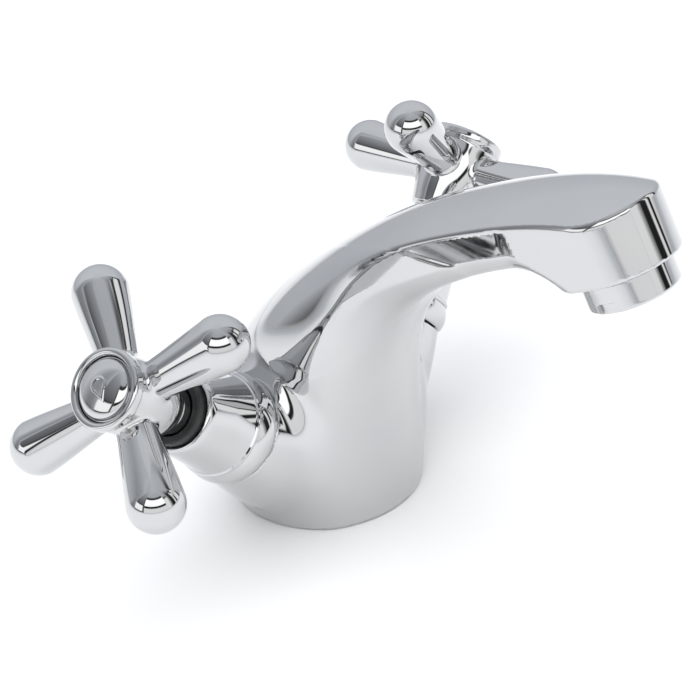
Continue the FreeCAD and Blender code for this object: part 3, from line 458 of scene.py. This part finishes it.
class Casting:
    def core(self, x, y, z, dt, st, du, su):
        r = crown(st)
        dt = dt - 0.62 * np.exp(-((y + 101.0) / 22.0) ** 2)
        roof = np.hypot(x, np.maximum(r - dt, 0)) - r
        front = -(y - OUTLET[1]) * NOSE_BACK[1] - (z - OUTLET[2]) * NOSE_BACK[2]
        up = (y - OUTLET[1]) * NOSE_UP[1] + (z - OUTLET[2]) * NOSE_UP[2]
        nose = fade(-y, 60.0, 8.0)
        ahead = np.maximum(front, 0) * (1 - nose)
        xx = np.sqrt(x * x + ahead * ahead)
        w, c = half_width(su), corner(su)
        side = np.hypot(np.maximum(xx - (w - c), 0), np.maximum(c - du, 0)) - c
        # the drum runs into the underside behind it over a wide fillet, no wider than the spout
        drum = np.hypot(x, front) - 13.93
        outline = np.hypot(x, np.maximum(front, 0.0)) - 13.93
        outline = np.where(y < -70.0, outline, -1e3)
        joined = both(both(either(side, drum, 11.0), outline, 0.3), 7.2 - up, 0.7)
        lower = np.minimum(both(side, outline, 0.7), joined)
        crease = 0.8 + 7.2 * fade(-y, 24.0, 12.0)
        return both(roof, lower, crease)

    def rest(self, p, body):
        x, y, z = p.T
        for side in ("hot", "cold"):
            a, b, t = pod_coords(p, side)
            rad = np.hypot(a, b)
            boss = both((rad - 13.8 - 4.6 * np.tanh((43.2 - t) / 17.0)) * 0.97, 10.0 - t, 0.5)
            joined = both(either(body, boss, 8.0), t - 43.2, 0.5)
            body = either(body, joined + 0.35, 0.85)
        body = both(body, -z, 0.6)
        for side in ("hot", "cold"):
            a, b, t = pod_coords(p, side)
            rad = np.hypot(a, b)
            body = minus(body, np.maximum(rad - 10.4, 22.0 - t), 0.25)
            body = minus(body, np.maximum(rad - 11.8, 41.8 - t), 0.1)
        for sx in (-9.0, 9.0):
            body = minus(body, np.maximum(np.hypot(x - sx, y) - 4.55, z - 12.0), 0.3)
        body = minus(body, np.maximum(np.hypot(x, y - 13.0) - 3.4, z - 14.0), 0.3)
        ring = np.hypot(x, y)
        body = minus(body, np.maximum(np.abs(ring - 21.0) - 1.5, z - 2.2), 0.15)
        front = -(y - OUTLET[1]) * NOSE_BACK[1] - (z - OUTLET[2]) * NOSE_BACK[2]
        up = (y - OUTLET[1]) * NOSE_UP[1] + (z - OUTLET[2]) * NOSE_UP[2]
        body = minus(body, np.maximum(np.hypot(x, front) - 9.9, up - 17.0), 0.2)
        return body

    def __call__(self, p):
        x, y, z = p.T
        dt, st = TOP.project(y, z, 1.0)
        du, su = UNDER.project(y, z, -1.0)
        return self.rest(p, self.core(x, y, z, dt, st, du, su))

    def grid(self, axes):
        yy, zz = np.meshgrid(axes[1], axes[2], indexing="ij")
        y, z = yy.ravel(), zz.ravel()
        dt, st = TOP.project(y, z, 1.0)
        du, su = UNDER.project(y, z, -1.0)
        out = np.empty((len(axes[0]),) + yy.shape)
        for i, x in enumerate(axes[0]):
            xs = np.full(len(y), x)
            p = np.stack([xs, y, z], 1)
            out[i] = self.rest(p, self.core(xs, y, z, dt, st, du, su)).reshape(yy.shape)
        return out


step = 0.7
v, q, n = implicit_mesh(Casting(), (-46.3, -112.5, -1.4), (46.3, 27.2, 113.5), step)
casting = mesh_object("casting", v, q, n)
casting.data.materials.append(CHROME)
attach(casting, "base"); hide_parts("body_casting")
print("casting", len(v), len(q))


# ------------------------------------------------------------------ turned pieces
def arc_points(points, count=7):
    """Rounds each inner corner of a profile: (r, t, radius) with a quadratic blend."""
    out = []
    n = len(points)
    for i, (x, y, r) in enumerate(points):
        if r <= 0:
            out.append((x, y))
            continue
        p0, p1, p2 = np.array(points[i - 1][:2]), np.array((x, y)), np.array(points[(i + 1) % n][:2])
        d0, d2 = p0 - p1, p2 - p1
        l0, l2 = np.linalg.norm(d0), np.linalg.norm(d2)
        d0, d2 = d0 / l0, d2 / l2
        cosang = float(np.clip(d0 @ d2, -1, 1))
        half = math.acos(cosang) / 2
        cut = min(r / math.tan(half), 0.49 * l0, 0.49 * l2)
        rr = cut * math.tan(half)
        centre = p1 + (d0 + d2) / np.linalg.norm(d0 + d2) * (rr / math.sin(half))
        a, b = p1 + d0 * cut - centre, p1 + d2 * cut - centre
        a0 = math.atan2(a[1], a[0])
        da = math.atan2(b[1], b[0]) - a0
        da = (da + math.pi) % (2 * math.pi) - math.pi
        for k in range(count):
            t = a0 + da * k / (count - 1)
            out.append((centre[0] + rr * math.cos(t), centre[1] + rr * math.sin(t)))
    return out


def turned(name, profile, basis, origin, segments=192, closed=True, relief=None):
    """A closed profile of (radius, level) spun about the third axis of basis."""
    prof = np.array(profile, float)
    ang = np.linspace(0, 2 * math.pi, segments, endpoint=False)
    verts, faces = [], []
    poles = {}
    index = []
    for i, (r, t) in enumerate(prof):
        if r < 1e-6:
            poles[i] = len(verts)
            index.append([len(verts)] * segments)
            verts.append((0, 0, t))
        else:
            index.append(list(range(len(verts), len(verts) + segments)))
            for a in ang:
                verts.append((r * math.cos(a), r * math.sin(a), t))
    m_ = len(prof)
    for i in range(m_ if closed else m_ - 1):
        j = (i + 1) % m_
        if i in poles and j in poles:
            continue
        for k in range(segments):
            k2 = (k + 1) % segments
            a, b, c, d = index[i][k], index[i][k2], index[j][k2], index[j][k]
            f = []
            for w in (a, b, c, d):
                if w not in f:
                    f.append(w)
            if len(f) > 2:
                faces.append(tuple(f))
    verts = np.array(verts)
    if relief is not None:
        verts = relief(verts)
    # faces look outward when the profile runs anticlockwise in (radius, level)
    area = 0.5 * sum(prof[i][0] * prof[(i + 1) % m_][1] - prof[(i + 1) % m_][0] * prof[i][1] for i in range(m_))
    if area < 0:
        faces = [tuple(reversed(f)) for f in faces]
    world = verts @ basis + origin
    return mesh_object(name, world, faces)


def curve_between(p0, p1, p2, count):
    """Points of a quadratic curve, without its first."""
    p0, p1, p2 = map(np.array, (p0, p1, p2))
    return [tuple((1 - t) ** 2 * p0 + 2 * t * (1 - t) * p1 + t * t * p2) for t in np.linspace(0, 1, count)[1:]]


def sharpen(obj, angle=28.0):
    me = obj.data
    import bmesh
    bm = bmesh.new()
    bm.from_mesh(me)
    for e in bm.edges:
        if len(e.link_faces) == 2 and e.calc_face_angle(0.0) > math.radians(angle):
            e.smooth = False
    bm.to_mesh(me)
    bm.free()


def shroud_profile():
    outer = [(13.55, 43.3, 0), (13.9, 43.6, 0)]
    outer += [tuple(list(p) + [0]) for p in curve_between((13.9, 43.6), (14.9, 46.4), (12.95, 49.6), 14)]
    outer += [(13.15, 49.75, 0), (13.25, 50.1, 0), (13.15, 50.5, 0), (12.75, 50.75, 0), (12.62, 51.1, 0)]
    outer += [(11.6, 57.6, 0), (10.62, 64.3, 0)]
    outer += [tuple(list(p) + [0]) for p in curve_between((10.62, 64.3), (10.25, 66.55), (9.35, 66.6), 9)]
    outer += [(8.95, 66.35, 0.0), (8.75, 65.9, 0)]
    inner = [(8.75, 64.4, 0), (8.25, 64.4, 0), (8.25, 62.6, 0), (11.3, 51.2, 0), (7.7, 51.2, 0), (7.7, 49.05, 0), (12.3, 49.05, 0), (12.3, 43.3, 0)]
    return [p[:2] for p in outer + inner]


def ring_profile():
    pts = [(6.52, 64.45, 0), (8.68, 64.45, 0), (8.72, 67.9, 0), (8.6, 69.2, 0.95), (6.52, 69.15, 0.35)]
    return arc_points(pts, 8)


for side in ("hot", "cold"):
    B = pod_basis(side)
    s = turned(side + "_bell_cover", shroud_profile(), B, ROOT)
    sharpen(s)
    s.data.materials.append(CHROME)
    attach(s, "base"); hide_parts(side + "_shroud")
    s = turned(side + "_mouth_ring", ring_profile(), B, ROOT, 128)
    sharpen(s)
    s.data.materials.append(RUBBER)
    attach(s, "base"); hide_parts(side + "_shroud_ring")


# ------------------------------------------------------------------ cross handles
class Handle:
    """Hub, four arms with ball ends, sleeve, rim and the recess for the cap."""
    KNOTS = np.array([-13.5, -12.7, -11.0, -9.0, -6.0, -3.0, 0.0, 3.0, 5.5, 8.0, 11.0])
    RADII = np.array([7.05, 7.3, 7.75, 8.3, 9.05, 9.5, 9.65, 9.55, 9.3, 9.2, 9.2])

    def __init__(self):
        # natural cubic through the hub's radii
        x, y = self.KNOTS, self.RADII
        n_ = len(x)
        h = np.diff(x)
        A = np.zeros((n_, n_))
        b = np.zeros(n_)
        A[0, 0] = A[-1, -1] = 1
        for i in range(1, n_ - 1):
            A[i, i - 1], A[i, i], A[i, i + 1] = h[i - 1], 2 * (h[i - 1] + h[i]), h[i]
            b[i] = 6 * ((y[i + 1] - y[i]) / h[i] - (y[i] - y[i - 1]) / h[i - 1])
        self.m = np.linalg.solve(A, b)
        self.h = h

    def hub_radius(self, t):
        x, y, m2, h = self.KNOTS, self.RADII, self.m, self.h
        tc = np.clip(t, x[0], x[-1])
        i = np.clip(np.searchsorted(x, tc) - 1, 0, len(h) - 1)
        a, b = x[i + 1] - tc, tc - x[i]
        return (m2[i] * a ** 3 + m2[i + 1] * b ** 3) / (6 * h[i]) + (y[i] / h[i] - m2[i] * h[i] / 6) * a + (y[i + 1] / h[i] - m2[i + 1] * h[i] / 6) * b

    @staticmethod
    def arms(along, across, z):
        """Two opposite arms: a ball that runs into a slightly waisted stem."""
        ax, off = np.abs(along), np.hypot(across, z)
        L, R = 28.0, 7.17
        w = np.clip((ax - 6.0) / 22.0, 0.0, 1.0)
        stem_r = 4.6 + (R - 4.6) * (0.72 * w + 0.28 * w * w * (3 - 2 * w))
        return np.where(ax > L, np.hypot(off, ax - L) - R, (off - stem_r) * 0.99)

    def __call__(self, p):
        x, y, z = p.T
        rad = np.hypot(x, y)
        hub = both(rad - self.hub_radius(z), z - 7.6, 0.4)
        hub = both(hub, -12.7 - z, 0.5)
        # raised rim round the cap
        rim = both(both(rad - 10.05, 8.0 - rad, 0.5), np.abs(z - 8.0) - 1.55, 1.0)
        hub = either(hub, rim, 0.5)
        body = either(either(hub, self.arms(x, y, z), 1.1), self.arms(y, x, z), 1.1)
        # sleeve that runs into the mouth of the cover
        sleeve = both(rad - 6.3, np.abs(z + 16.0) - 4.9, 0.4)
        body = either(body, sleeve, 0.3)
        bore_ = np.minimum(np.maximum(rad - 7.9, 5.4 - z), np.maximum(rad - 4.5, 2.4 - z))
        bore_ = np.minimum(bore_, np.maximum(rad - 4.02, z + 1.0))
        bore_ = np.minimum(bore_, rad - 2.3)
        return minus(body, bore_, 0.2)


step = 0.4
hv, hq, hn = implicit_mesh(Handle(), (-36.2, -36.2, -22.1), (36.2, 36.2, 10.4), step)
print("handle", len(hv), len(hq))


def droplet(x, y):
    """Distance to the outline of a plain water drop."""
    y = y + 0.55
    c = np.hypot(x, y) - 1.75
    s = (np.abs(x) * 0.88 + (y - 3.55) * 0.475)
    return np.minimum(c, np.maximum(s, 0.84 - y))


def cap_profile():
    pts = [(0, 5.42), (7.86, 5.42), (7.86, 8.15)]
    # a narrow flat land, a fine groove, then the dome
    pts += [(7.78, 8.35), (7.66, 8.42), (7.5, 8.42), (7.38, 8.6)]
    for a in np.linspace(0.0, 1.0, 44)[1:]:
        r = 7.38 * (1 - a)
        pts.append((r if r > 1e-6 else 0.0, 8.6 + 2.45 * math.sqrt(max(0.0, 1 - (r / 7.46) ** 2))))
    return pts


def cap_relief(verts):
    x, y, z = verts.T
    d = np.abs(droplet(x, y)) - 0.32
    top = z > 9.2
    lift = 0.13 * np.clip(0.5 - d / 0.3, 0, 1)
    out = verts.copy()
    out[:, 2] += np.where(top, lift, 0.0)
    return out


for side in ("hot", "cold"):
    B = pod_basis(side, TURN[side])
    C = ROOT + POD[side][2] * HUB
    h = mesh_object(side + "_cross_handle", hv @ B + C, hq, hn @ B)
    h.data.materials.append(CHROME_GRIP)
    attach(h, side + "_valve"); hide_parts(side + "_handle")
    c = turned(side + "_button", cap_profile(), B, C, 256, relief=cap_relief)
    sharpen(c, 40)
    c.data.materials.append(CHROME_GRIP)
    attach(c, side + "_valve"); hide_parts(side + "_index_cap")


# ------------------------------------------------------------------ aerator
NOSE_B = np.stack([np.array([1, 0, 0.0]), NOSE_BACK, NOSE_UP])
prof = [(7.9, 0.15, 0), (8.3, 0, 0), (10.4, 0, 0.35), (10.98, 0.6, 0.4), (10.98, 6.45, 0.25), (10.7, 6.85, 0),
        (9.85, 6.85, 0), (9.85, 12.9, 0), (9.3, 13.45, 0), (8.42, 13.45, 0), (8.42, 1.25, 0), (7.9, 1.25, 0)]


def key_slots(verts):
    out = verts.copy()
    r = np.hypot(out[:, 0], out[:, 1])
    near = (np.abs(out[:, 1]) < 2.4) & (r > 10.0) & (out[:, 2] < 2.45)
    inner_r = 10.1
    out[near, 0] = np.sign(out[near, 0]) * np.sqrt(np.maximum(inner_r ** 2 - out[near, 1] ** 2, 0))
    return out


pp = arc_points(prof, 6)
fine = []
for (a, b) in zip(pp, pp[1:] + pp[:1]):
    fine.append(a)
    d = math.hypot(b[0] - a[0], b[1] - a[1])
    for k in range(1, int(d / 0.4)):
        w = k / int(d / 0.4)
        fine.append((a[0] + (b[0] - a[0]) * w, a[1] + (b[1] - a[1]) * w))
a = turned("outlet_collar_ring", fine, NOSE_B, OUTLET, 288, relief=key_slots)
sharpen(a, 32)
a.data.materials.append(CHROME)
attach(a, "base"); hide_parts("aerator_housing")


# ------------------------------------------------------------------ floor, light
def stage_plane(name, size, z):
    import bmesh
    bm = bmesh.new()
    bmesh.ops.create_grid(bm, x_segments=8, y_segments=8, size=size)
    me = bpy.data.meshes.new(name)
    bm.to_mesh(me)
    bm.free()
    o = bpy.data.objects.new(name, me)
    o.location = (0, 0, z)
    scene.collection.objects.link(o)
    return o


floor = stage_plane("floor", 2.5, -0.0002)
mat, nt, bsdf = new_material("pale_floor")
reach = nt.nodes.new("ShaderNodeVectorMath")
reach.operation = "LENGTH"
nt.links.new(coords(nt), reach.inputs[0])
# Painted pool of light: the floor colour stays 0.95 within 0.35 m of the centre and darkens to 0.60 at 1.25 m. This
# is painted shade standing in for light falling off, not the floor's own colour.
painted_falloff = ramp(nt, remap(nt, reach.outputs["Value"], 0.0, 1.0, 0.35, 1.25), [(0.0, grey(0.95)), (0.5, grey(0.80, 0.02)), (1.0, grey(0.60, 0.04))])
# Random mottle multiplied onto the painted light falloff: this mix carries both the floor's own tone variation and
# the painted shade.
painted_falloff_and_mottle = nt.nodes.new("ShaderNodeMix")
painted_falloff_and_mottle.data_type = "RGBA"
painted_falloff_and_mottle.blend_type = "MULTIPLY"
painted_falloff_and_mottle.inputs[0].default_value = 1.0
nt.links.new(painted_falloff, painted_falloff_and_mottle.inputs[6])
nt.links.new(ramp(nt, noise(nt, coords(nt), 3.0, 2.0), [(0.3, grey(0.98)), (0.7, grey(1.0))]), painted_falloff_and_mottle.inputs[7])
nt.links.new(painted_falloff_and_mottle.outputs[2], bsdf.inputs["Base Color"])
bsdf.inputs["Roughness"].default_value = 0.7
bsdf.inputs["Specular IOR Level"].default_value = 0.2
floor.data.materials.append(mat)

world = bpy.data.worlds.new("studio")
scene.world = world
world.use_nodes = True
nt = world.node_tree
for n_ in list(nt.nodes):
    nt.nodes.remove(n_)
out = nt.nodes.new("ShaderNodeOutputWorld")
bg = nt.nodes.new("ShaderNodeBackground")
nt.links.new(bg.outputs[0], out.inputs[0])
tc = nt.nodes.new("ShaderNodeTexCoord")
sep = nt.nodes.new("ShaderNodeSeparateXYZ")
nt.links.new(tc.outputs["Generated"], sep.inputs[0])


def calc(op, a, b=None):
    n = nt.nodes.new("ShaderNodeMath")
    n.operation = op
    for k, v in enumerate((a, b)):
        if v is None:
            continue
        if isinstance(v, (int, float)):
            n.inputs[k].default_value = v
        else:
            nt.links.new(v, n.inputs[k])
    return n.outputs[0]


def level(stops):
    """Sky colour by height angle in degrees, as a ramp over -90 to 90."""
    return ramp(nt, elev, [((e + 90.0) / 180.0, c) for e, c in stops])


def blend(fac, a, b):
    n = nt.nodes.new("ShaderNodeMix")
    n.data_type = "RGBA"
    nt.links.new(fac, n.inputs[0])
    nt.links.new(a, n.inputs[6])
    nt.links.new(b, n.inputs[7])
    return n.outputs[2]


def sector(lo, hi, soft):
    """1 between two bearings in degrees, with soft ends."""
    up_ = remap(nt, bearing, 0.0, 1.0, lo - soft, lo + soft)
    down = remap(nt, bearing, 1.0, 0.0, hi - soft, hi + soft)
    return calc("MULTIPLY", up_, down)


nt_deg = 57.29578
elev = remap(nt, calc("MULTIPLY", calc("ARCSINE", sep.outputs["Z"]), nt_deg), 0.0, 1.0, -90.0, 90.0)
# bearing: 0 in front of the spout, positive towards the cold side
bearing = calc("MULTIPLY", calc("ARCTAN2", sep.outputs["X"], calc("MULTIPLY", sep.outputs["Y"], -1.0)), nt_deg)

far = level([(-90, grey(0.6)), (-1, grey(0.62, 0.04)), (1, grey(0.62, 0.07)), (30, grey(0.80, 0.07)), (60, grey(0.84, 0.06)),
             (90, grey(0.76, 0.06))])
left = level([(-90, grey(0.6)), (-1, grey(0.6)), (0, grey(0.03)), (2, grey(0.04)), (4, grey(1.4)), (21, grey(1.45)),
              (23, grey(0.03)), (27, grey(0.15, 0.02)), (55, grey(0.40, 0.04)), (75, grey(0.62, 0.05)), (90, grey(0.70, 0.06))])
back_left = level([(-90, grey(0.6)), (-1, grey(0.6)), (0, grey(0.16, 0.01)), (5, grey(0.30, 0.03)), (45, grey(0.44, 0.05)),
                   (70, grey(0.62, 0.06)), (90, grey(0.70, 0.06))])
near = level([(-90, grey(0.6)), (-1, grey(0.8)), (0, grey(1.05)), (15, grey(1.1)), (17, grey(0.03)), (23, grey(0.02)),
              (25, grey(1.7)), (46, grey(1.75)), (48, grey(0.03)), (53, grey(0.05)), (57, grey(0.56, 0.05)), (90, grey(0.70, 0.06))])
front = level([(-90, grey(0.6)), (-1, grey(0.8)), (0, grey(1.08)), (36, grey(1.15)), (40, grey(0.05)), (48, grey(0.56, 0.05)),
               (90, grey(0.70, 0.06))])
middling = level([(-90, grey(0.6)), (-1, grey(0.6)), (0, grey(0.35)), (40, grey(0.40)), (60, grey(0.55, 0.04)), (90, grey(0.70, 0.06))])
dark = level([(-90, grey(0.6)), (-1, grey(0.6)), (0, grey(0.02)), (44, grey(0.05)), (60, grey(0.50, 0.04)), (90, grey(0.70, 0.06))])
sky = far
sky = blend(sector(-152.0, -128.0, 8.0), sky, back_left)
sky = blend(sector(-128.0, -96.0, 1.5), sky, left)
sky = blend(sector(-96.0, -90.0, 1.5), sky, dark)
sky = blend(sector(-90.0, -2.0, 1.5), sky, near)
sky = blend(sector(-2.0, 62.0, 1.5), sky, front)
sky = blend(sector(16.0, 34.0, 3.5), sky, middling)
sky = blend(sector(22.0, 36.0, 1.5), sky, dark)
sky = blend(sector(42.0, 48.0, 1.0), sky, dark)
sky = blend(sector(62.0, 68.0, 1.5), sky, dark)
nt.links.new(sky, bg.inputs["Color"])
bg.inputs["Strength"].default_value = 1.0


def area(name, loc, target, size, power):
    l = bpy.data.lights.new(name, "AREA")
    l.shape = "DISK"
    l.size = size
    l.energy = power
    o = bpy.data.objects.new(name, l)
    o.location = loc
    o.rotation_euler = (Vector(target) - Vector(loc)).to_track_quat("-Z", "Y").to_euler()
    o.visible_glossy = False
    scene.collection.objects.link(o)
    return o


area("overhead_soft", (-0.3, -0.2, 2.2), (0, -0.03, 0.0), 3.4, 50.0)
